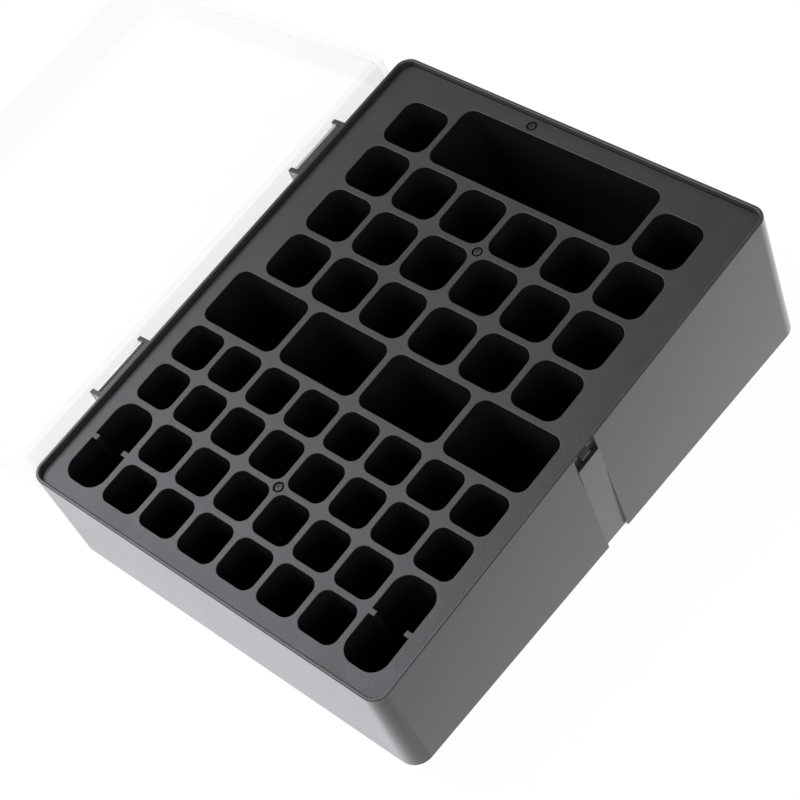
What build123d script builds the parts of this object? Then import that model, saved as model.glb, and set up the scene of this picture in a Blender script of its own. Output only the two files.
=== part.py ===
from build123d import *
import os

# Battery sorting case: a low wedge-shaped box whose dark deck holds loose batteries in rows of
# pockets, with a clear lid hinged along the back edge and swung fully open.
# Frame: the base lies on Z = 0, centred on the origin. The latch side faces -Y, the hinge side
# faces +Y and the deck climbs towards +X. Sizes are in millimetres, angles in degrees.

# ---- case: its length and depth follow from the pockets and these margins ----
LOW_MARGIN = 6.26            # from the rim to the first small pockets
HIGH_MARGIN = 6.86           # from the long bay to the rim
SIDE_MARGIN = 6.64           # from the block pockets to the rim, latch and hinge side
CORNER_RADIUS = 4.9
DECK_SLOPE = 5.0             # the deck climbs from the small cells to the large ones
DECK_RISE = 45.2             # from the middle of the base to the middle of the deck
WALL_FLARE = 1.0             # the walls open out towards the base
WALL_THICKNESS = 2.0
RIM_THICKNESS = 1.1          # the wall above the seat of the deck
RIM_HEIGHT = 2.0             # the rim stands this far above the deck
RIM_ROUNDING = 0.35
WALL_FOOT = 0.3              # the walls end this far above the table

# ---- base plate ----
BASE_THICKNESS = 2.0
BASE_CLEARANCE = 0.15        # round the plate, inside the walls

# ---- deck ----
DECK_THICKNESS = 2.0
DECK_CLEARANCE = 0.2         # round the deck, inside the rim
LIP_DEPTH = 5.0              # the turned-down edge of the deck stands on the seat in the walls
LIP_THICKNESS = 1.5
GATE_RADIUS = 1.9            # shallow round marks left by moulding
GATE_DEPTH = 0.3
GATE_SPOTS = [(-52.0, 0.0), (39.0, 0.0)]

# ---- pockets: mouths in the deck, upright walls beneath it ----
HOLDER_LIFT = 0.3            # free height between the pocket walls and the base plate
BORDER_WALL = 1.9            # walls round the outside of each group of pockets
HAIR = 0.02                  # joint between one pocket wall and the next

SMALL_MOUTH = 13.65          # square mouth for a 10.5 mm cell
SMALL_RADIUS = 3.3
SMALL_PITCH = 15.53
SMALL_ROWS = 8
SMALL_COLUMNS = 4

BUTTON_LENGTH = 29.0         # corner slots for two stacks of button cells
BUTTON_WIDTH = 14.3
BUTTON_RADIUS = 5.2
BUTTON_WEB = 2.0             # between a slot and the small pockets beside it
BUTTON_RIB_WIDTH = 1.6       # nubs that keep the two stacks apart
BUTTON_RIB_REACH = 1.9

BLOCK_LENGTH = 29.35         # mouth for a 26.5 x 17.5 mm block battery
BLOCK_WIDTH = 20.0
BLOCK_RADIUS = 3.55
BLOCK_PITCH = 31.39
BLOCK_COUNT = 4
BLOCK_WEB = 2.1              # between the small pockets and the block pockets

LARGE_MOUTH = 17.0           # square mouth for a 14.5 mm cell
LARGE_RADIUS = 4.25
LARGE_PITCH = 19.0
LARGE_ROWS = 6
LARGE_COLUMNS = 4
LARGE_WEB = 1.95             # between the large pockets and the block pockets

BAY_WIDTH = 22.35            # long bay inside the last column of large cells
BAY_WEB = 1.95               # between the bay and the large pockets at its ends
BAY_RADIUS = 3.96

# ---- latch ----
NOTCH_WIDTH = 9.0            # gap in the rim for the tongue of the lid
NOTCH_DEPTH = 4.0            # below the deck
CATCH_WIDTH = 3.6
CATCH_TOP = 0.4              # the ramp starts this far below the deck
CATCH_REACH = 1.35
CATCH_FALL = 1.25            # and falls this far
CATCH_NOSE = 0.55
CATCH_HEIGHT = 2.2
STRIP_PROUD = 0.5            # the thumb strip under the notch stands proud at its top
STRIP_LEAN = 0.4             # and leans back behind the rim towards the base

# ---- hinges ----
HINGE_SPOTS = [-46.35, 46.35]
HINGE_OUT = 3.05             # hinge line, out from the back rim
HINGE_UP = 0.2               # and above the deck
EAR_GAP = 19.8               # between the two ears of a hinge
EAR_THICKNESS = 1.5
EAR_REACH = 4.4
EAR_FALL = 0.6               # the top of an ear drops towards its end
EAR_END = 3.5                # the end of an ear reaches this far below the deck
EAR_ROOT = 8.0               # and its underside meets the wall here
LEDGE_REACH = 0.6            # thickened rim between the ears
LEDGE_DEPTH = 2.5            # below the deck
PIN_RADIUS = 0.75
PIN_SEAT_CLEARANCE = 0.03    # pin in the ears
PIN_RUN_CLEARANCE = 0.05     # pin in the knuckles of the lid
PIN_SETBACK = 0.1            # pin ends behind the outer faces of the ears

# ---- lid ----
LID_OPEN = 188.0             # swung back from closed, just clear of the table
LID_CLEARANCE = 0.8          # between the skirt and the rim
LID_SEAT_GAP = 0.3           # between the edge of the skirt and the deck
LID_HEIGHT = 18.0            # above the deck when closed
LID_WALL = 2.0
LID_TOP = 2.0
LID_DRAFT = 0.8
LID_ROUNDING = 1.8
BEAD_EXTRA = 0.7             # the skirt is thicker along its edge
BEAD_HEIGHT = 2.0
KNUCKLE_RADIUS = 1.7
KNUCKLE_END_GAP = 0.4        # between a knuckle and its ears
ARM_UNDERSIDE = 2.2          # above the hinge line when closed
ARM_TOP = 3.9
ARM_CORNER = 1.9             # slope that trims the back corner of the arm
TONGUE_WIDTH = 8.0
TONGUE_THICKNESS = 1.1
TONGUE_GAP = 0.16            # between the tongue and the lip of the deck
TONGUE_TOP = 6.0
TONGUE_ROOT = 0.6            # the tongue joins the skirt above this level
TONGUE_BASE_GAP = 0.3        # under the tongue in its notch
WINDOW_GAP = 0.3             # round the catch

# ---- pocket layout along the deck, from its low edge, and the case round it ----
def spread(count, pitch):
    return [pitch * (index - (count - 1) / 2) for index in range(count)]


small_from = LOW_MARGIN + SMALL_MOUTH / 2
block_from = LOW_MARGIN + SMALL_PITCH * (SMALL_COLUMNS - 1) + SMALL_MOUTH + BLOCK_WEB
large_from = block_from + BLOCK_WIDTH + LARGE_WEB
bay_from = large_from + LARGE_PITCH * (LARGE_COLUMNS - 1)
case_length = bay_from + BAY_WIDTH + HIGH_MARGIN
case_depth = BLOCK_PITCH * (BLOCK_COUNT - 1) + BLOCK_LENGTH + 2 * SIDE_MARGIN

# the same places measured from the middle of the deck
low_edge = -case_length / 2
small_x = [low_edge + small_from + SMALL_PITCH * column for column in range(SMALL_COLUMNS)]
small_y = spread(SMALL_ROWS, SMALL_PITCH)
large_x = [
    low_edge + large_from + LARGE_MOUTH / 2 + LARGE_PITCH * column
    for column in range(LARGE_COLUMNS)
]
large_y = spread(LARGE_ROWS, LARGE_PITCH)
block_x = low_edge + block_from + BLOCK_WIDTH / 2
block_y = spread(BLOCK_COUNT, BLOCK_PITCH)
button_x = (small_x[0] + small_x[1]) / 2
button_y = small_y[-2] + (SMALL_MOUTH + BUTTON_WIDTH) / 2 + BUTTON_WEB
bay_left = low_edge + bay_from
bay_right = bay_left + BAY_WIDTH
bay_x = (bay_left + bay_right) / 2
bay_length = 2 * (large_y[-1] - LARGE_MOUTH / 2 - BAY_WEB)

# ---- planes and sizes used by several pieces ----
tilt = Axis(origin=(0, 0, 0), direction=(0, -1, 0))
middle = Vector(0, 0, 1).rotate(tilt, DECK_SLOPE) * DECK_RISE
deck = Plane(
    origin=middle,
    x_dir=Vector(1, 0, 0).rotate(tilt, DECK_SLOPE),
    z_dir=Vector(0, 0, 1).rotate(tilt, DECK_SLOPE),
)
base = Plane.XY
depth_below = 1.3 * DECK_RISE
half_depth = case_depth / 2
seat_length = case_length - 2 * RIM_THICKNESS
seat_depth = case_depth - 2 * RIM_THICKNESS
seat_radius = CORNER_RADIUS - RIM_THICKNESS
deck_length = seat_length - 2 * DECK_CLEARANCE
deck_depth = seat_depth - 2 * DECK_CLEARANCE
deck_radius = seat_radius - DECK_CLEARANCE
hinge_y = half_depth + HINGE_OUT

# The lid is drawn on the plane of the deck, swung round the hinge line.
swing = Axis(origin=(0, 0, 0), direction=deck.x_dir)
lid_back = deck.y_dir.rotate(swing, -LID_OPEN)
lid_up = deck.z_dir.rotate(swing, -LID_OPEN)
hinge_point = deck.from_local_coords((0, hinge_y, HINGE_UP))
lid_deck = Plane(
    origin=hinge_point - lid_back * hinge_y - lid_up * HINGE_UP,
    x_dir=deck.x_dir,
    z_dir=lid_up,
)


def across(plane, x):
    """Section at x of a deck plane: first axis towards the hinges, second away from the deck."""
    return Plane(
        origin=plane.from_local_coords((x, 0, 0)),
        x_dir=plane.y_dir,
        z_dir=plane.x_dir,
    )


# The button-cell slots take the end rows of the first two small columns, and the long bay all
# but the end rows of the last large column.
small_spots = [
    (x, y)
    for column, x in enumerate(small_x)
    for y in (small_y[1:-1] if column < 2 else small_y)
]
large_spots = [(x, y) for x in large_x[:-1] for y in large_y]
large_spots += [(large_x[-1], y) for y in (large_y[0], large_y[-1])]
block_spots = [(block_x, y) for y in block_y]
button_spots = [(button_x, -button_y), (button_x, button_y)]


def rungs(x, width, rows, mouth, ends):
    """Spans of the walls between and, if wanted, beyond the pockets of one column."""
    low = x - width / 2 + HAIR
    high = x + width / 2 - HAIR
    spans = [
        (low, high, near + mouth / 2, far - mouth / 2)
        for near, far in zip(rows, rows[1:])
    ]
    if ends:
        spans.append((low, high, rows[-1] + mouth / 2, rows[-1] + mouth / 2 + BORDER_WALL))
        spans.append((low, high, rows[0] - mouth / 2 - BORDER_WALL, rows[0] - mouth / 2))
    return spans


def upright_walls(spans):
    """Pocket walls square to the deck, one for each (x from, x to, y from, y to)."""
    with BuildPart() as walls:
        with BuildSketch(deck.offset(-DECK_THICKNESS)):
            for x_from, x_to, y_from, y_to in spans:
                with Locations(((x_from + x_to) / 2, (y_from + y_to) / 2)):
                    Rectangle(x_to - x_from, y_to - y_from)
        extrude(amount=-depth_below)
        split(bisect_by=base.offset(BASE_THICKNESS + HOLDER_LIFT), keep=Keep.TOP)
    return walls.part


# ---- outer shell: four walls, rim, ears, ledges, notch and thumb strip ----
with BuildPart() as outer_shell:
    with BuildSketch(deck.offset(RIM_HEIGHT)):
        RectangleRounded(case_length, case_depth, CORNER_RADIUS)
    extrude(amount=-depth_below, taper=-WALL_FLARE)

    # seat for the lip of the deck, then the hollow below it
    with BuildSketch(deck.offset(RIM_HEIGHT)):
        RectangleRounded(seat_length, seat_depth, seat_radius)
    extrude(amount=-(RIM_HEIGHT + LIP_DEPTH), mode=Mode.SUBTRACT)
    with BuildSketch(deck.offset(RIM_HEIGHT)):
        RectangleRounded(
            case_length - 2 * WALL_THICKNESS,
            case_depth - 2 * WALL_THICKNESS,
            CORNER_RADIUS - WALL_THICKNESS,
        )
    extrude(amount=-depth_below, taper=-WALL_FLARE, mode=Mode.SUBTRACT)

    rim_top = outer_shell.faces().sort_by(Axis(deck.origin, deck.z_dir))[-1]
    fillet(rim_top.edges(), RIM_ROUNDING)

    # ledges between the ears
    with BuildSketch(deck.offset(RIM_HEIGHT)):
        with Locations([(x, half_depth - RIM_THICKNESS / 2) for x in HINGE_SPOTS]):
            Rectangle(
                EAR_GAP,
                LEDGE_REACH + RIM_THICKNESS / 2,
                align=(Align.CENTER, Align.MIN),
            )
    extrude(amount=-(RIM_HEIGHT + LEDGE_DEPTH))

    # ears: plates at both ends of each ledge
    for x in HINGE_SPOTS:
        for side in (-1, 1):
            ear_x = x + side * (EAR_GAP + EAR_THICKNESS) / 2
            with BuildSketch(across(deck, ear_x)):
                with BuildLine():
                    Polyline(
                        (half_depth - RIM_THICKNESS / 2, RIM_HEIGHT),
                        (half_depth, RIM_HEIGHT),
                        (half_depth + EAR_REACH, RIM_HEIGHT - EAR_FALL),
                        (half_depth + EAR_REACH, -EAR_END),
                        (half_depth - RIM_THICKNESS / 2, -EAR_ROOT),
                        close=True,
                    )
                make_face()
            extrude(amount=EAR_THICKNESS / 2, both=True)

    # pin holes through the ears
    for x in HINGE_SPOTS:
        with BuildSketch(across(deck, x)):
            with Locations((hinge_y, HINGE_UP)):
                Circle(PIN_RADIUS + PIN_SEAT_CLEARANCE)
        extrude(amount=EAR_GAP / 2 + EAR_THICKNESS, both=True, mode=Mode.SUBTRACT)

    # thumb strip on the latch side, then the notch above it
    with BuildSketch(across(deck, 0)):
        with BuildLine():
            Polyline(
                (-half_depth - STRIP_PROUD, 0),
                (-half_depth + RIM_THICKNESS, 0),
                (-half_depth + RIM_THICKNESS, -depth_below),
                (-half_depth + STRIP_LEAN, -depth_below),
                close=True,
            )
        make_face()
    extrude(amount=NOTCH_WIDTH / 2, both=True)
    with BuildSketch(across(deck, 0)):
        with BuildLine():
            Polyline(
                (-half_depth - STRIP_PROUD, 0),
                (-half_depth + STRIP_LEAN, -depth_below),
                (-half_depth - WALL_THICKNESS, -depth_below),
                (-half_depth - WALL_THICKNESS, 0),
                close=True,
            )
        make_face()
    extrude(amount=NOTCH_WIDTH / 2, both=True, mode=Mode.SUBTRACT)
    with BuildSketch(deck.offset(-NOTCH_DEPTH)):
        with Locations((0, -half_depth)):
            Rectangle(NOTCH_WIDTH, 2 * RIM_THICKNESS + 2 * STRIP_PROUD)
    extrude(amount=NOTCH_DEPTH + 2 * RIM_HEIGHT, mode=Mode.SUBTRACT)

    split(bisect_by=base.offset(WALL_FOOT), keep=Keep.TOP)
outer_shell.part.label = "outer_shell"

# ---- base plate: closes the hollow and stands on the table ----
with BuildPart() as base_plate:
    with BuildSketch(deck.offset(RIM_HEIGHT)):
        RectangleRounded(
            case_length - 2 * (WALL_THICKNESS + BASE_CLEARANCE),
            case_depth - 2 * (WALL_THICKNESS + BASE_CLEARANCE),
            CORNER_RADIUS - WALL_THICKNESS - BASE_CLEARANCE,
        )
    extrude(amount=-depth_below, taper=-WALL_FLARE)
    split(bisect_by=base, keep=Keep.TOP)
    split(bisect_by=base.offset(BASE_THICKNESS), keep=Keep.BOTTOM)
base_plate.part.label = "base_plate"

# ---- sorting deck: plate with the mouths of the pockets, turned-down lip and catch ----
with BuildPart() as sorting_deck:
    with BuildSketch(deck):
        RectangleRounded(deck_length, deck_depth, deck_radius)
    extrude(amount=-LIP_DEPTH)
    with BuildSketch(deck.offset(-DECK_THICKNESS)):
        RectangleRounded(
            deck_length - 2 * LIP_THICKNESS,
            deck_depth - 2 * LIP_THICKNESS,
            deck_radius - LIP_THICKNESS,
        )
    extrude(amount=-LIP_DEPTH, mode=Mode.SUBTRACT)

    # mouths of the pockets
    with BuildSketch(deck):
        with Locations(small_spots):
            RectangleRounded(SMALL_MOUTH, SMALL_MOUTH, SMALL_RADIUS)
        with Locations(large_spots):
            RectangleRounded(LARGE_MOUTH, LARGE_MOUTH, LARGE_RADIUS)
        with Locations(block_spots):
            RectangleRounded(BLOCK_WIDTH, BLOCK_LENGTH, BLOCK_RADIUS)
        with Locations((bay_x, 0)):
            RectangleRounded(BAY_WIDTH, bay_length, BAY_RADIUS)
        with Locations(button_spots):
            RectangleRounded(BUTTON_LENGTH, BUTTON_WIDTH, BUTTON_RADIUS)
        for x, y in button_spots:
            with Locations((x, y - BUTTON_WIDTH / 2), (x, y + BUTTON_WIDTH / 2)):
                Rectangle(BUTTON_RIB_WIDTH, 2 * BUTTON_RIB_REACH, mode=Mode.SUBTRACT)
    extrude(amount=-DECK_THICKNESS, mode=Mode.SUBTRACT)

    # gate marks
    with BuildSketch(deck):
        with Locations(GATE_SPOTS):
            Circle(GATE_RADIUS)
    extrude(amount=-GATE_DEPTH, mode=Mode.SUBTRACT)

    # catch for the tongue of the lid
    lip_y = -deck_depth / 2
    with BuildSketch(across(deck, 0)):
        with BuildLine():
            Polyline(
                (lip_y + LIP_THICKNESS / 2, -CATCH_TOP),
                (lip_y, -CATCH_TOP),
                (lip_y - CATCH_REACH, -CATCH_TOP - CATCH_FALL),
                (lip_y - CATCH_REACH, -CATCH_TOP - CATCH_FALL - CATCH_NOSE),
                (lip_y, -CATCH_TOP - CATCH_HEIGHT),
                (lip_y + LIP_THICKNESS / 2, -CATCH_TOP - CATCH_HEIGHT),
                close=True,
            )
        make_face()
    extrude(amount=CATCH_WIDTH / 2, both=True)
sorting_deck.part.label = "sorting_deck"

# ---- walls under the deck, group by group ----
small_left = small_x[0] - SMALL_MOUTH / 2
small_web = SMALL_PITCH - SMALL_MOUTH
inner_end = small_y[-2] + SMALL_MOUTH / 2
outer_end = small_y[-1] + SMALL_MOUTH / 2 + BORDER_WALL
spans = [(small_left - BORDER_WALL, small_left, -inner_end, inner_end)]
for column, x in enumerate(small_x):
    edge = x + SMALL_MOUTH / 2
    if column < 2:
        spans += rungs(x, SMALL_MOUTH, small_y[1:-1], SMALL_MOUTH, False)
    else:
        spans += rungs(x, SMALL_MOUTH, small_y, SMALL_MOUTH, True)
    if column == 0:
        spans.append((edge, edge + small_web, -inner_end, inner_end))
    elif column < 3:
        spans.append((edge, edge + small_web, -outer_end, outer_end))
aaa_walls = upright_walls(spans)
aaa_walls.label = "aaa_walls"

slot_right = small_x[1] + SMALL_MOUTH / 2 - HAIR
slot_left = button_x - BUTTON_LENGTH / 2
slot_outer = button_y + BUTTON_WIDTH / 2
slot_inner = button_y - BUTTON_WIDTH / 2
spans = [
    (slot_left - BORDER_WALL, slot_right, inner_end + HAIR, slot_inner),
    (slot_left - BORDER_WALL, slot_left, slot_inner + HAIR, slot_outer - HAIR),
    (slot_left - BORDER_WALL, slot_right, slot_outer, slot_outer + BORDER_WALL),
]
spans += [(x_from, x_to, -y_to, -y_from) for x_from, x_to, y_from, y_to in spans]
button_slot_walls = upright_walls(spans)
button_slot_walls.label = "button_slot_walls"

block_left = block_x - BLOCK_WIDTH / 2
block_right = block_x + BLOCK_WIDTH / 2
block_end = block_y[-1] + BLOCK_LENGTH / 2 + BORDER_WALL
spans = rungs(block_x, BLOCK_WIDTH, block_y, BLOCK_LENGTH, True)
spans.append((small_x[-1] + SMALL_MOUTH / 2 + HAIR, block_left, -block_end, block_end))
spans.append((block_right, large_x[0] - LARGE_MOUTH / 2 - HAIR, -block_end, block_end))
nine_volt_walls = upright_walls(spans)
nine_volt_walls.label = "nine_volt_walls"

large_end = large_y[-1] + LARGE_MOUTH / 2 + BORDER_WALL
large_right = large_x[-1] + LARGE_MOUTH / 2
bay_end = large_y[-1] - LARGE_MOUTH / 2
spans = []
for x in large_x[:-1]:
    spans += rungs(x, LARGE_MOUTH, large_y, LARGE_MOUTH, True)
    spans.append((x + LARGE_MOUTH / 2, x + LARGE_PITCH - LARGE_MOUTH / 2, -large_end, large_end))
for side in (-1, 1):
    near, far = sorted((side * (bay_end + HAIR), side * large_end))
    spans.append((large_right, large_right + BORDER_WALL, near, far))
    near, far = sorted((side * (large_end - BORDER_WALL), side * large_end))
    spans.append((bay_left + HAIR, large_right - HAIR, near, far))
aa_walls = upright_walls(spans)
aa_walls.label = "aa_walls"

bay_inner = bay_length / 2
spans = [
    (bay_right, bay_right + BORDER_WALL, -bay_inner + HAIR, bay_inner - HAIR),
    (bay_left + HAIR, bay_right + BORDER_WALL, bay_inner, bay_end),
    (bay_left + HAIR, bay_right + BORDER_WALL, -bay_end, -bay_inner),
]
long_bay_walls = upright_walls(spans)
long_bay_walls.label = "long_bay_walls"

# ---- hinge pins ----
with BuildPart() as hinge_pin_left:
    with BuildSketch(across(deck, HINGE_SPOTS[0])):
        with Locations((hinge_y, HINGE_UP)):
            Circle(PIN_RADIUS)
    extrude(amount=EAR_GAP / 2 + EAR_THICKNESS - PIN_SETBACK, both=True)
hinge_pin_left.part.label = "hinge_pin_left"

with BuildPart() as hinge_pin_right:
    with BuildSketch(across(deck, HINGE_SPOTS[1])):
        with Locations((hinge_y, HINGE_UP)):
            Circle(PIN_RADIUS)
    extrude(amount=EAR_GAP / 2 + EAR_THICKNESS - PIN_SETBACK, both=True)
hinge_pin_right.part.label = "hinge_pin_right"

# ---- lid: clear tray with two hinge arms and a tongue ----
skirt_length = seat_length - 2 * LID_CLEARANCE
skirt_depth = seat_depth - 2 * LID_CLEARANCE
skirt_radius = seat_radius - LID_CLEARANCE
with BuildPart() as lid:
    with BuildSketch(lid_deck.offset(LID_SEAT_GAP)):
        RectangleRounded(skirt_length, skirt_depth, skirt_radius)
    extrude(amount=LID_HEIGHT - LID_SEAT_GAP, taper=LID_DRAFT)
    lid_top = lid.faces().sort_by(Axis(lid_deck.origin, lid_deck.z_dir))[-1]
    fillet(lid_top.edges(), LID_ROUNDING)

    # hollow, narrower inside the bead along the edge
    with BuildSketch(lid_deck.offset(LID_SEAT_GAP)):
        RectangleRounded(
            skirt_length - 2 * (LID_WALL + BEAD_EXTRA),
            skirt_depth - 2 * (LID_WALL + BEAD_EXTRA),
            skirt_radius - LID_WALL - BEAD_EXTRA,
        )
    extrude(amount=BEAD_HEIGHT, mode=Mode.SUBTRACT)
    with BuildSketch(lid_deck.offset(LID_SEAT_GAP + BEAD_HEIGHT)):
        RectangleRounded(
            skirt_length - 2 * LID_WALL,
            skirt_depth - 2 * LID_WALL,
            skirt_radius - LID_WALL,
        )
    extrude(
        amount=LID_HEIGHT - LID_TOP - LID_SEAT_GAP - BEAD_HEIGHT,
        taper=LID_DRAFT,
        mode=Mode.SUBTRACT,
    )

    # arms and knuckles
    arm_root = skirt_depth / 2 - LID_WALL / 2
    for x in HINGE_SPOTS:
        with BuildSketch(across(lid_deck, x)):
            with BuildLine():
                Polyline(
                    (arm_root, HINGE_UP + ARM_UNDERSIDE),
                    (hinge_y - KNUCKLE_RADIUS, HINGE_UP + ARM_UNDERSIDE),
                    (hinge_y - KNUCKLE_RADIUS, HINGE_UP),
                    (hinge_y + KNUCKLE_RADIUS, HINGE_UP),
                    (hinge_y + KNUCKLE_RADIUS, HINGE_UP + ARM_UNDERSIDE),
                    (hinge_y + KNUCKLE_RADIUS - ARM_CORNER, HINGE_UP + ARM_TOP),
                    (arm_root, HINGE_UP + ARM_TOP),
                    close=True,
                )
            make_face()
            with Locations((hinge_y, HINGE_UP)):
                Circle(KNUCKLE_RADIUS)
        extrude(amount=EAR_GAP / 2 - KNUCKLE_END_GAP, both=True)
        with BuildSketch(across(lid_deck, x)):
            with Locations((hinge_y, HINGE_UP)):
                Circle(PIN_RADIUS + PIN_RUN_CLEARANCE)
        extrude(amount=EAR_GAP / 2, both=True, mode=Mode.SUBTRACT)

    # tongue, with a window that closes over the catch
    tongue_inner = lip_y - TONGUE_GAP
    tongue_outer = tongue_inner - TONGUE_THICKNESS
    tongue_foot = TONGUE_BASE_GAP - NOTCH_DEPTH
    with BuildSketch(across(lid_deck, 0)):
        with BuildLine():
            Polyline(
                (-skirt_depth / 2 + LID_WALL / 2, TONGUE_TOP),
                (-skirt_depth / 2, TONGUE_TOP),
                (tongue_outer, TONGUE_TOP - TONGUE_THICKNESS),
                (tongue_outer, tongue_foot),
                (tongue_inner, tongue_foot),
                (tongue_inner, TONGUE_ROOT),
                (-skirt_depth / 2 + LID_WALL / 2, TONGUE_ROOT),
                close=True,
            )
        make_face()
    extrude(amount=TONGUE_WIDTH / 2, both=True)
    with BuildSketch(across(lid_deck, 0)):
        with BuildLine():
            Polyline(
                (tongue_inner, WINDOW_GAP - CATCH_TOP),
                (tongue_outer, WINDOW_GAP - CATCH_TOP),
                (tongue_outer, -CATCH_TOP - CATCH_HEIGHT - WINDOW_GAP),
                (tongue_inner, -CATCH_TOP - CATCH_HEIGHT - WINDOW_GAP),
                close=True,
            )
        make_face()
    extrude(amount=CATCH_WIDTH / 2 + WINDOW_GAP, both=True, mode=Mode.SUBTRACT)
lid.part.label = "lid"

# ---- export ----
os.makedirs("parts", exist_ok=True)
export_step(outer_shell.part, "parts/outer_shell.step")
export_step(base_plate.part, "parts/base_plate.step")
export_step(sorting_deck.part, "parts/sorting_deck.step")
export_step(aaa_walls, "parts/aaa_walls.step")
export_step(button_slot_walls, "parts/button_slot_walls.step")
export_step(nine_volt_walls, "parts/nine_volt_walls.step")
export_step(aa_walls, "parts/aa_walls.step")
export_step(long_bay_walls, "parts/long_bay_walls.step")
export_step(hinge_pin_left.part, "parts/hinge_pin_left.step")
export_step(hinge_pin_right.part, "parts/hinge_pin_right.step")
export_step(lid.part, "parts/lid.step")
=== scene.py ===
# %% [markdown]
# # Battery storage case
# A low wedge of grey plastic with a dark insert full of battery pockets, and a clear lid that is
# swung right back. The rigid frame comes from the CAD model. This file gives it its finishes,
# builds the insert again with drafted, rounded pockets, and lights it as in a studio.
# The scene is in metres, in the frame of the CAD model: the case stands on Z = 0 with its latch
# towards -Y and its hinges towards +Y. Sizes on the deck are easier to read in millimetres: a
# point is turned into metres where it is put on the deck, and other such sizes are times MM.

# %% Frame
import bmesh
import bpy
import math
from mathutils import Matrix, Quaternion, Vector


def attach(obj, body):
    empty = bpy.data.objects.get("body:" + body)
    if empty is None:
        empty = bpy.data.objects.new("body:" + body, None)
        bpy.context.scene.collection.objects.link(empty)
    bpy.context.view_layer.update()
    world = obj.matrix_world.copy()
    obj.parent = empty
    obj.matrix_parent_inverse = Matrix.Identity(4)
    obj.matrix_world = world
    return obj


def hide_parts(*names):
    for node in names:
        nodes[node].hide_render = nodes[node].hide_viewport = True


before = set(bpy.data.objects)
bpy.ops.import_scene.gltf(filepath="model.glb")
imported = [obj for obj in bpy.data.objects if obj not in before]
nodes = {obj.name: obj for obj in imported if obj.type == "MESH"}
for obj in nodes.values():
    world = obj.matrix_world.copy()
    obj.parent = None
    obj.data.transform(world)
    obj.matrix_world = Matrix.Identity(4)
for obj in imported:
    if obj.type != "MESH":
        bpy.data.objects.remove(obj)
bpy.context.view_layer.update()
print("nodes:", sorted(nodes))

# %% [markdown]
# ## The plane of the deck
# The top of the real case is not level: it climbs from the small cells to the large ones. Nearly
# everything on it is easiest to say in the deck's own coordinates, so a small matrix carries a
# point from the deck to the world. The other way would be to model flat and rotate each object,
# but then its mesh would no longer be in the frame of the case.

# %% Deck coordinates
MM = 0.001
DECK_SLOPE = math.radians(5.0)
DECK_RISE = 45.2 * MM  # at the middle of the case
deck_to_world = Matrix.Rotation(-DECK_SLOPE, 4, "Y") @ Matrix.Translation((0, 0, DECK_RISE))
deck_up = deck_to_world.to_3x3() @ Vector((0, 0, 1))


def on_deck(x, y, z=0.0):
    """World place of a point given in millimetres on the deck."""
    return deck_to_world @ Vector((x * MM, y * MM, z * MM))


def height_over(x, world_level):
    """Deck height where the line square to the deck at x meets a world level, in millimetres."""
    foot = on_deck(x, 0)
    return (world_level * MM - foot.z) / deck_up.z / MM


print("middle of the deck at", [round(v, 4) for v in on_deck(0, 0)])

# %% [markdown]
# ## Camera
# The photograph looks down over the front left corner from about half a metre, with a long lens
# and the camera rolled by twenty degrees. A quaternion holds that roll as well as the direction.
# The lens follows from a picture of 800 x 800.

# %% Camera
CAMERA_PLACE = (-0.215641, -0.31183, 0.474672)
CAMERA_TURN = (0.83860213, 0.33851324, -0.04028113, -0.42489137)

camera = bpy.data.objects.new("camera", bpy.data.cameras.new("camera"))
bpy.context.scene.collection.objects.link(camera)
camera.location = CAMERA_PLACE
camera.rotation_mode = "QUATERNION"
camera.rotation_quaternion = Quaternion(CAMERA_TURN)
camera.data.sensor_width = 36.0
camera.data.lens = 90.65
camera.data.clip_start = 0.01
bpy.context.scene.camera = camera
print("camera at", tuple(round(v, 3) for v in camera.location))

# %% [markdown]
# ## Tools for a finish
# Every finish here starts from one Principled shader, and most of them let a texture or an angle
# move one of its values between two limits. Four small helpers say that in few words: they open
# a material, add a node with its values, map a value onto a range and mix two shaders. Clicking
# the nodes together by hand gives the same result, but a script can be read and repeated.

# %% Material helpers


def fresh_material(name):
    """A material with one Principled shader, and the tree to add nodes to."""
    material = bpy.data.materials.new(name)
    material.use_nodes = True
    tree = material.node_tree
    return material, tree, tree.nodes["Principled BSDF"]


def add(tree, kind, **values):
    """Adds a node and sets its inputs, named with _ for a space, or else its properties."""
    node = tree.nodes.new(kind)
    for key, value in values.items():
        name = key.replace("_", " ")
        if name in node.inputs:
            node.inputs[name].default_value = value
        else:
            setattr(node, key, value)
    return node


def ranged(tree, source, low, high, start=0.0, end=1.0, **how):
    """Maps a value that runs from start to end onto low to high."""
    limits = {"From_Min": start, "From_Max": end, "To_Min": low, "To_Max": high}
    node = add(tree, "ShaderNodeMapRange", **limits, **how)
    tree.links.new(source, node.inputs["Value"])
    return node.outputs["Result"]


def surface_mix(material, share, first, second):
    """Shows the second shader by its share of the first, as the material's surface."""
    tree = material.node_tree
    mix = add(tree, "ShaderNodeMixShader")
    tree.links.new(share, mix.inputs[0])
    tree.links.new(first.outputs[0], mix.inputs[1])
    tree.links.new(second.outputs[0], mix.inputs[2])
    tree.links.new(mix.outputs[0], tree.nodes["Material Output"].inputs["Surface"])


print("helpers: fresh_material, add, ranged, surface_mix")

# %% [markdown]
# ## Floor
# The case stands on a white sweep of paper. It has to look white and still carry a shadow, so for
# rays from the camera it is mostly plain white with a little lit paper mixed in. The walls of the
# case mirror the floor at a low angle, and that reflection, not paint, makes the left wall so
# pale, so rays that come off or through the case see the floor as plain white too.

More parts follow.
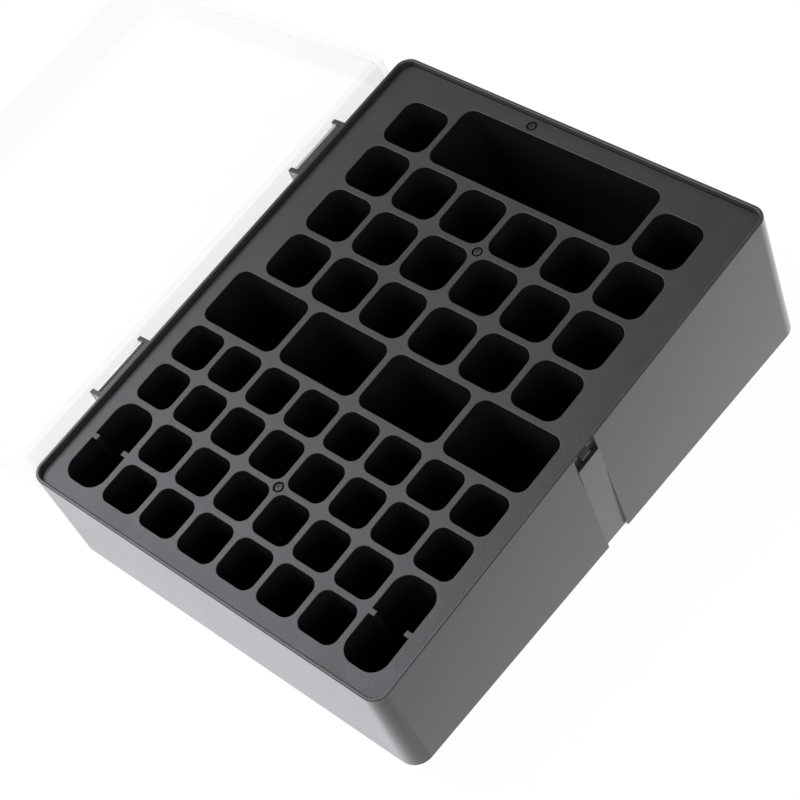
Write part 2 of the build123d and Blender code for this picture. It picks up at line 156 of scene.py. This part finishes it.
# %% Floor
FLOOR_HALF = 6.0
FLOOR_DROP = 0.2 * MM  # keeps the floor clear of the underside of the case
PAPER_WHITE = 0.86
WHITE_TO_CAMERA = 0.97  # share of plain white, the rest is lit paper

sides = ((-1, -1), (1, -1), (1, 1), (-1, 1))
floor_mesh = bpy.data.meshes.new("floor")
floor_mesh.from_pydata([(x * FLOOR_HALF, y * FLOOR_HALF, 0) for x, y in sides], [], [(0, 1, 2, 3)])
floor = bpy.data.objects.new("floor", floor_mesh)
bpy.context.scene.collection.objects.link(floor)
floor.location.z = -FLOOR_DROP

paper, tree, shader = fresh_material("floor_paper")
shader.inputs["Base Color"].default_value = (PAPER_WHITE, PAPER_WHITE, PAPER_WHITE, 1)
shader.inputs["Roughness"].default_value = 0.9
shader.inputs["Specular IOR Level"].default_value = 0.1
path = add(tree, "ShaderNodeLightPath")
seen = ranged(tree, path.outputs["Is Camera Ray"], 0.0, WHITE_TO_CAMERA)
mirrored = add(tree, "ShaderNodeMath", operation="MAXIMUM")
tree.links.new(path.outputs["Is Glossy Ray"], mirrored.inputs[0])
tree.links.new(path.outputs["Is Transmission Ray"], mirrored.inputs[1])
share = add(tree, "ShaderNodeMath", operation="MAXIMUM")
tree.links.new(seen, share.inputs[0])
tree.links.new(mirrored.outputs[0], share.inputs[1])
white = add(tree, "ShaderNodeEmission", Color=(1, 1, 1, 1), Strength=1.0)
surface_mix(paper, share.outputs[0], shader, white)
floor.data.materials.append(paper)
print("floor:", 2 * FLOOR_HALF, "m square")

# %% [markdown]
# ## Studio light
# The world is a soft white tent, brighter to the camera than to the case. Two large softboxes
# stand in front and to the left. A third behind the case is mirrored by the low end of the deck
# and fades towards the high end, which is how the deck gets its gentle gradient. A single lamp
# would leave a hard spot on the satin plastic.

# %% World and lamps
WORLD_LIGHT = 0.55  # strength of the tent on the case

world = bpy.data.worlds.new("studio")
bpy.context.scene.world = world
world.use_nodes = True
tree = world.node_tree
background = tree.nodes["Background"]
background.inputs["Color"].default_value = (1, 1, 1, 1)
path = add(tree, "ShaderNodeLightPath")
strength = ranged(tree, path.outputs["Is Camera Ray"], WORLD_LIGHT, 1.0)
tree.links.new(strength, background.inputs["Strength"])


def softbox(name, place, aim, width, depth, watts):
    """A rectangular lamp at a place, turned towards its aim."""
    light = bpy.data.lights.new(name, "AREA")
    light.shape = "RECTANGLE"
    light.size = width
    light.size_y = depth
    light.energy = watts
    box = bpy.data.objects.new(name, light)
    bpy.context.scene.collection.objects.link(box)
    box.location = place
    box.rotation_euler = (Vector(aim) - Vector(place)).to_track_quat("-Z", "Y").to_euler()


softbox("front_light", (-0.5, -1.3, 0.55), (0, 0, 0.02), width=1.2, depth=0.7, watts=9.0)
softbox("left_light", (-1.3, 0.1, 0.6), (0, 0, 0.02), width=1.2, depth=0.7, watts=7.0)
softbox("back_light", (-0.24, 0.80, 1.06), (-0.1, 0, 0.04), width=0.7, depth=1.0, watts=15.0)
bpy.context.scene.view_settings.view_transform = "Standard"

# %% [markdown]
# ## Moulded plastic
# The shell and the insert come out of steel moulds with a fine spark-eroded grain. Up close that
# is a soft, even pebbling about half a millimetre wide, which spreads each reflection. A noise
# texture in object coordinates drives a faint bump, and a wider one lets the roughness and the
# shade wander a little, as handling does. Painting the grain as colour would look printed on.

# %% Plastic with a grain
GRAIN_PER_METRE = 1500.0  # noise cells in a metre
WEAR_PER_METRE = 60.0
NOISE_LOW, NOISE_HIGH = 0.3, 0.7  # a noise texture seldom leaves this range
SHADE_WANDER = 0.12
ROUGHNESS_WANDER = 0.05
GRAIN_STRENGTH = 0.35
PLASTIC_TINT = Vector((1.0, 1.01, 1.12))  # a cold grey
GLOSS_TINT = (0.93, 0.94, 1.0, 1)


def moulded(name, shade, roughness, grain, specular=0.5):
    """Satin plastic: shade is its linear grey, grain the depth of the bump in metres."""
    material, tree, shader = fresh_material(name)
    where = add(tree, "ShaderNodeTexCoord")
    fine = add(tree, "ShaderNodeTexNoise", Scale=GRAIN_PER_METRE, Detail=4.0, Roughness=0.7)
    wide = add(tree, "ShaderNodeTexNoise", Scale=WEAR_PER_METRE, Detail=6.0, Roughness=0.8)
    for noise in (fine, wide):
        tree.links.new(where.outputs["Object"], noise.inputs["Vector"])

    def wandering(middle, by):
        """A value that follows the wide noise a little above and below its middle."""
        return ranged(tree, wide.outputs["Fac"], middle - by, middle + by, NOISE_LOW, NOISE_HIGH)

    colour = add(tree, "ShaderNodeVectorMath", operation="SCALE")
    colour.inputs[0].default_value = shade * PLASTIC_TINT
    tree.links.new(wandering(1.0, SHADE_WANDER), colour.inputs["Scale"])
    tree.links.new(colour.outputs["Vector"], shader.inputs["Base Color"])
    tree.links.new(wandering(roughness, ROUGHNESS_WANDER), shader.inputs["Roughness"])
    bump = add(tree, "ShaderNodeBump", Strength=GRAIN_STRENGTH, Distance=grain)
    tree.links.new(fine.outputs["Fac"], bump.inputs["Height"])
    tree.links.new(bump.outputs["Normal"], shader.inputs["Normal"])
    shader.inputs["Specular IOR Level"].default_value = specular
    shader.inputs["Specular Tint"].default_value = GLOSS_TINT
    return material


case_plastic = moulded("case_plastic", shade=0.020, roughness=0.36, grain=0.03 * MM)
deck_plastic = moulded("deck_plastic", shade=0.013, roughness=0.40, grain=0.12 * MM)
# The insides of the pockets are the deck's own plastic, painted darker and duller here: painted
# shade in the pockets and the gate grooves.
painted_shade_plastic = moulded(
    "painted_shade_plastic", shade=0.006, roughness=0.5, grain=0.02 * MM, specular=0.1
)
print("plastics:", case_plastic.name, deck_plastic.name, painted_shade_plastic.name)

# %% [markdown]
# ## Low-angle sheen
# Seen at a low angle, the flanks of the grain hide behind each other and only its tops reflect,
# so the wall turns almost into a mirror of the white floor. Roughness alone doesn't do that. A
# second glossy shader is mixed in instead, by how far the surface turns away from the eye, which
# Layer Weight measures. The deck, which is seen from above, goes without it.

# %% Sheen of the shell
SHEEN_SHARE = 0.44
SHEEN_STARTS, SHEEN_FULL = 0.44, 0.9  # on Layer Weight's scale, 0 face on and 1 edge on


def low_angle_sheen(material):
    """Mixes a glossy layer into a plastic where it is seen at a low angle."""
    tree = material.node_tree
    facing = add(tree, "ShaderNodeLayerWeight", Blend=0.5).outputs["Facing"]
    share = ranged(
        tree, facing, 0.0, SHEEN_SHARE, SHEEN_STARTS, SHEEN_FULL, interpolation_type="SMOOTHSTEP"
    )
    gloss = add(tree, "ShaderNodeBsdfGlossy", Color=(0.95, 0.95, 1, 1), Roughness=0.32)
    surface_mix(material, share, tree.nodes["Principled BSDF"], gloss)


low_angle_sheen(case_plastic)
print("sheen added to", case_plastic.name)

# %% [markdown]
# ## Outer shell and base plate
# Their CAD solids already have the walls, rim, notch, thumb strip and ears, so they stay and only
# take the case plastic.

# %% Shell finish


def dress(node, material):
    """Gives a CAD node one finish, whatever it was imported with."""
    mesh = nodes[node].data
    mesh.materials.clear()
    mesh.materials.append(material)


for node in ("outer_shell", "base_plate"):
    dress(node, case_plastic)
print("dressed: outer_shell, base_plate")

# %% [markdown]
# ## Pocket layout
# Small cells stand in four columns on the low side, block batteries in the middle and large cells
# on the high side. Two corner slots take button cells and a long bay runs inside the last
# column. The numbers are those of the CAD model, in millimetres on the deck, so each mouth lies
# over its pocket. A mouth is its middle, its length along X, its width along Y and its corner.

# %% Where the mouths are
LENGTH, DEPTH, CORNER = 176.76, 136.8, 4.9  # the case at its rim
SMALL_PITCH, SMALL_MOUTH = 15.53, (13.65, 13.65, 3.3)
LARGE_PITCH, LARGE_MOUTH = 19.0, (17.0, 17.0, 4.25)
BLOCK_PITCH, BLOCK_MOUTH = 31.39, (20.0, 29.35, 3.55)
BAY_MOUTH = (22.35, 74.1, 3.96)
SLOT_MOUTH = (29.0, 14.3, 5.2)
FIRST_SMALL_X, FIRST_LARGE_X = -75.295, 10.67
BLOCK_X, BAY_X = -9.78, 70.345
SLOT_X, SLOT_Y = -67.53, 54.8


def spread(count, pitch):
    """Places along a row that is centred on the deck."""
    return [pitch * (i - (count - 1) / 2) for i in range(count)]


small_rows = spread(8, SMALL_PITCH)
large_rows = spread(6, LARGE_PITCH)
mouths = []
for column in range(4):
    rows = small_rows[1:-1] if column < 2 else small_rows
    mouths += [(FIRST_SMALL_X + SMALL_PITCH * column, y, *SMALL_MOUTH) for y in rows]
for column in range(4):
    rows = large_rows if column < 3 else (large_rows[0], large_rows[-1])
    mouths += [(FIRST_LARGE_X + LARGE_PITCH * column, y, *LARGE_MOUTH) for y in rows]
mouths += [(BLOCK_X, y, *BLOCK_MOUTH) for y in spread(4, BLOCK_PITCH)]
mouths.append((BAY_X, 0.0, *BAY_MOUTH))
slots = [(SLOT_X, y, *SLOT_MOUTH) for y in (-SLOT_Y, SLOT_Y)]
print(len(mouths), "pockets and", len(slots), "slots")

# %% [markdown]
# ## The insert
# The insert is one moulding: a flat deck whose mouths run over into deep cups, with a lip turned
# down round the outside. Each cup is a stack of rings: a rounded edge, a wall that closes in by
# half a millimetre so that the mould can let go, and a floor. The deck is the flat face between
# the rings. Cutting the pockets with booleans would also work, but the rings keep every edge loop
# clean, and the edge rounding comes for free. A solidify modifier then gives it its wall.

# %% Outlines
NUB_HALF = 0.8  # half the width of a nub
NUB_REACH = 1.9  # from the side of the slot inwards
SHARPEST_MITRE = 0.35  # keeps an inset corner from shooting out


def quarter_turn(steps):
    """Angles from 0 to 90 degrees."""
    return [math.radians(90 * k / steps) for k in range(steps + 1)]


def rounded(x, y, length, width, radius, steps=7):
    """Points round a rounded rectangle, anticlockwise."""
    points = []
    for corner in range(4):
        side_x = 1 if corner in (0, 3) else -1
        side_y = 1 if corner in (0, 1) else -1
        middle_x = x + side_x * (length / 2 - radius)
        middle_y = y + side_y * (width / 2 - radius)
        for k in range(steps + 1):
            a = math.radians(90 * corner + 90 * k / steps)
            points.append((middle_x + radius * math.cos(a), middle_y + radius * math.sin(a)))
    return points


def slot_outline(x, y, length, width, radius):
    """A button-cell slot: a rounded rectangle with a nub in the middle of each long side."""
    points = rounded(x, y, length, width, radius)
    quarter = len(points) // 4
    edge, tip = width / 2, width / 2 - NUB_REACH
    left, right = x - NUB_HALF, x + NUB_HALF
    back_nub = [(right, y + edge), (right, y + tip), (left, y + tip), (left, y + edge)]
    front_nub = [(left, y - edge), (left, y - tip), (right, y - tip), (right, y - edge)]
    left_end = points[quarter : 3 * quarter]
    return points[:quarter] + back_nub + left_end + front_nub + points[3 * quarter :]


def inset(points, amount):
    """The outline moved inwards, each corner along its mitre."""
    moved = []
    count = len(points)
    for i in range(count):
        a, b, c = Vector(points[i - 1]), Vector(points[i]), Vector(points[(i + 1) % count])
        before, after = (b - a).normalized(), (c - b).normalized()
        inwards = Vector((-before.y, before.x))
        mitre = (inwards + Vector((-after.y, after.x))).normalized()
        moved.append(tuple(b + mitre * amount / max(SHARPEST_MITRE, mitre.dot(inwards))))
    return moved


print("a mouth has", len(rounded(*mouths[0])), "points")

# %% Rings
# The second finish is painted shade: the deck plastic darkened for pocket walls and floors and for
# the gate grooves.
DECK, RECESS_SHADE, SHELL = 0, 1, 2  # the insert's three finishes, in the order of its material slots


def ring(bm, points, height):
    """A closed ring of vertices; height is a number or a function of x."""
    level = height if callable(height) else (lambda x: height)
    return [bm.verts.new(on_deck(x, y, level(x))) for x, y in points]


def bridge(bm, outer, inner, finish=DECK):
    """Quads between two rings of one length."""
    count = len(outer)
    for i in range(count):
        j = (i + 1) % count
        bm.faces.new((outer[i], outer[j], inner[j], inner[i])).material_index = finish


print("finishes of the insert:", DECK, RECESS_SHADE, SHELL)

# %% Cups
EDGE = 0.16  # radius of the rounding round a mouth
START_DEPTH, START_IN = 1.2, 0.02  # the wall starts almost upright
DRAFT = 0.5  # how far it has closed in at the floor
TOE = 0.8  # the bevel between wall and floor
FLOOR_LEVEL = 3.3  # above the table


def cup(bm, outline):
    """A pocket: rounded mouth, drafted wall, floor. Returns the ring in the deck's surface."""
    rings = []
    for a in quarter_turn(4):
        over_the_edge = inset(outline, EDGE * math.sin(a) - 0.5 * EDGE)
        rings.append(ring(bm, over_the_edge, EDGE * (math.cos(a) - 1)))
    for upper, lower in zip(rings, rings[1:]):
        bridge(bm, upper, lower)
    wall_in = 0.5 * EDGE
    top = ring(bm, inset(outline, wall_in + START_IN), -START_DEPTH)
    low = ring(bm, inset(outline, wall_in + DRAFT), lambda x: height_over(x, FLOOR_LEVEL + TOE))
    toe = ring(bm, inset(outline, wall_in + DRAFT + TOE), lambda x: height_over(x, FLOOR_LEVEL))
    # Below the rounding, wall and floor take the darker finish: painted shade inside the pocket.
    for upper, lower in ((rings[-1], top), (top, low), (low, toe)):
        bridge(bm, upper, lower, RECESS_SHADE)
    bm.faces.new(toe).material_index = RECESS_SHADE
    return rings[0]


bm = bmesh.new()
surface_rings = [cup(bm, rounded(*mouth)) for mouth in mouths]
surface_rings += [cup(bm, slot_outline(*slot)) for slot in slots]
print("cups:", len(surface_rings))

# %% [markdown]
# ## Gate marks
# Plastic enters the mould through small gates, and each leaves a round scar where it was cut off:
# a narrow groove round a low stub with a dimple in it. Three show on the flat of the deck. They
# are rings like the cups, so they share its surface. A bump texture would look flat from the side.

# %% Gate marks
GATE_PLACES = [(-52.06, 0.0), (38.94, 0.0), (84.2, 14.4)]
GROOVE = [(1.75, 0.0), (1.66, -0.5), (1.12, -0.5)]  # radius and height, from the outside in
STUB = [(1.04, -0.1), (0.62, -0.08), (0.52, -0.4)]


def circle(x, y, radius, count=28):
    """Points round a circle, anticlockwise."""
    turns = [math.tau * k / count for k in range(count)]
    return [(x + radius * math.cos(a), y + radius * math.sin(a)) for a in turns]


def gate_mark(bm, x, y):
    """The scar of a moulding gate. Returns the ring in the deck's surface."""
    rings = [ring(bm, circle(x, y, radius), height) for radius, height in GROOVE + STUB]
    # The groove's outer wall and bottom take the darker finish: painted shade in the groove.
    for k, (outer, inner) in enumerate(zip(rings, rings[1:])):
        bridge(bm, outer, inner, RECESS_SHADE if k < len(GROOVE) - 1 else DECK)
    bm.faces.new(rings[-1])
    return rings[0]


surface_rings += [gate_mark(bm, x, y) for x, y in GATE_PLACES]
print("gate marks:", len(GATE_PLACES))

# %% [markdown]
# ## Lip and deck surface
# The outside of the insert rounds over into a lip that turns down just inside the rim of the
# shell. Once the lip, cups and marks are there, the deck is only the face between their top
# rings. Blender's triangle fill closes a flat region with many holes in one step, where a single
# polygon can't have a hole at all.

# %% Lip
LIP_IN = 1.2  # from the outer face of the case to the lip
LIP_DEPTH = 5.0  # from the deck down
OUTER_EDGE = 0.2  # radius of the rounding along the lip

outside = rounded(0, 0, LENGTH - 2 * LIP_IN, DEPTH - 2 * LIP_IN, CORNER - LIP_IN, steps=10)
lip_rings = []
for a in quarter_turn(3):
    over_the_edge = inset(outside, OUTER_EDGE * (1 - math.sin(a)))
    lip_rings.append(ring(bm, over_the_edge, OUTER_EDGE * (math.cos(a) - 1)))
for upper, lower in zip(lip_rings, lip_rings[1:]):
    bridge(bm, lower, upper)
bridge(bm, ring(bm, outside, -LIP_DEPTH), lip_rings[-1], SHELL)
surface_rings.append(lip_rings[0])
print("lip points:", len(outside))

# %% Deck surface
border = []
for loop in surface_rings:
    border += [bm.edges.get(pair) for pair in zip(loop, loop[1:] + loop[:1])]
filled = bmesh.ops.triangle_fill(bm, use_beauty=True, edges=border, normal=deck_up)
deck_faces = [item for item in filled["geom"] if isinstance(item, bmesh.types.BMFace)]
bmesh.ops.recalc_face_normals(bm, faces=bm.faces)
if deck_faces[0].normal.dot(deck_up) < 0:
    bmesh.ops.reverse_faces(bm, faces=bm.faces)
print("deck faces:", len(deck_faces))

# %% [markdown]
# ## The insert as an object
# The edge roundings are shaded smooth, and faces level with the deck are shaded flat. Smooth
# shading of the deck's long thin triangles would show as dark streaks between the pockets.

# %% Insert object
CREASE = math.radians(28)
LEVEL = 0.9999  # from this cosine up, a face counts as level with the deck
INSERT_WALL = 0.85 * MM


def as_object(bm, name, *finishes):
    """Makes an object of the mesh built so far, with its finishes in slot order."""
    mesh = bpy.data.meshes.new(name)
    bm.to_mesh(mesh)
    bm.free()
    for material in finishes:
        mesh.materials.append(material)
    piece = bpy.data.objects.new(name, mesh)
    bpy.context.scene.collection.objects.link(piece)
    return piece


insert = as_object(bm, "insert", deck_plastic, painted_shade_plastic, case_plastic)
insert.data.set_sharp_from_angle(angle=CREASE)
for polygon in insert.data.polygons:
    polygon.use_smooth = polygon.normal.dot(deck_up) < LEVEL
wall = insert.modifiers.new("wall", "SOLIDIFY")
wall.thickness = INSERT_WALL
wall.offset = -1.0
wall.use_even_offset = False
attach(insert, "case")
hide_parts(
    "sorting_deck",
    "aaa_walls",
    "button_slot_walls",
    "nine_volt_walls",
    "aa_walls",
    "long_bay_walls",
)
print("insert:", len(insert.data.polygons), "faces")

# %% [markdown]
# ## Catch
# A small ramp moulded on the lip, for the tongue of the lid to snap over. It stands in the notch
# of the rim. Its profile is drawn once and pulled to its width, and a bevel takes off the edges,
# as the mould does.

# %% Catch
CATCH_HALF = 1.8  # half its width
CATCH_REACH = 1.4  # how far its nose stands out from the lip
CATCH_ROOT = 0.7  # how far it runs back into the lip
CATCH_TOP, CATCH_FOOT = -0.4, -2.6
NOSE_TOP, NOSE_FOOT = -1.4, -2.1
CATCH_EDGE = 0.12 * MM

lip = -DEPTH / 2 + LIP_IN
profile = [
    (lip + CATCH_ROOT, CATCH_TOP),
    (lip, CATCH_TOP),
    (lip - CATCH_REACH, NOSE_TOP),
    (lip - CATCH_REACH, NOSE_FOOT),
    (lip, CATCH_FOOT),
    (lip + CATCH_ROOT, CATCH_FOOT),
]
bm = bmesh.new()
left = [bm.verts.new(on_deck(-CATCH_HALF, y, z)) for y, z in profile]
right = [bm.verts.new(on_deck(CATCH_HALF, y, z)) for y, z in profile]
bm.faces.new(left)
bm.faces.new(right[::-1])
bridge(bm, right, left)
bmesh.ops.recalc_face_normals(bm, faces=bm.faces)
catch = as_object(bm, "catch", deck_plastic)
soften = catch.modifiers.new("soften", "BEVEL")
soften.width = CATCH_EDGE
soften.segments = 2
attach(catch, "case")
print("catch:", len(catch.data.polygons), "faces")

# %% [markdown]
# ## Clear lid
# The lid is polished clear plastic. In front of a white sweep it all but vanishes, and only its
# edges and the two knuckles show. It is made as a thin haze: nearly see-through where we look
# straight at it and denser at a low angle, which Layer Weight gives. A glass shader would bend
# the view as well, but a thin wall hardly does.

# %% Lid finish
HAZE_FACE_ON, HAZE_EDGE_ON = 0.03, 0.3

clear_plastic, tree, shader = fresh_material("clear_plastic")
shader.inputs["Base Color"].default_value = (0.70, 0.72, 0.76, 1)
shader.inputs["Roughness"].default_value = 0.08
facing = add(tree, "ShaderNodeLayerWeight", Blend=0.35).outputs["Facing"]
haze = ranged(tree, facing, HAZE_FACE_ON, HAZE_EDGE_ON)
tree.links.new(haze, shader.inputs["Alpha"])
dress("lid", clear_plastic)
print("dressed: lid")

# %% [markdown]
# ## Hinge pins
# Two short lengths of drawn steel wire. They show as grey bands through the clear knuckles. Wire
# isn't polished evenly, so a noise texture moves its roughness between two limits.

# %% Pin finish
DRAWN_PER_METRE = 900.0
DRAWN_SMOOTH, DRAWN_ROUGH = 0.22, 0.42

pin_steel, tree, shader = fresh_material("pin_steel")
shader.inputs["Base Color"].default_value = (0.55, 0.55, 0.56, 1)
shader.inputs["Metallic"].default_value = 1.0
where = add(tree, "ShaderNodeTexCoord")
drawn = add(tree, "ShaderNodeTexNoise", Scale=DRAWN_PER_METRE, Detail=2.0)
tree.links.new(where.outputs["Object"], drawn.inputs["Vector"])
rough = ranged(tree, drawn.outputs["Fac"], DRAWN_SMOOTH, DRAWN_ROUGH)
tree.links.new(rough, shader.inputs["Roughness"])
for node in ("hinge_pin_left", "hinge_pin_right"):
    dress(node, pin_steel)
print("dressed: hinge_pin_left, hinge_pin_right")
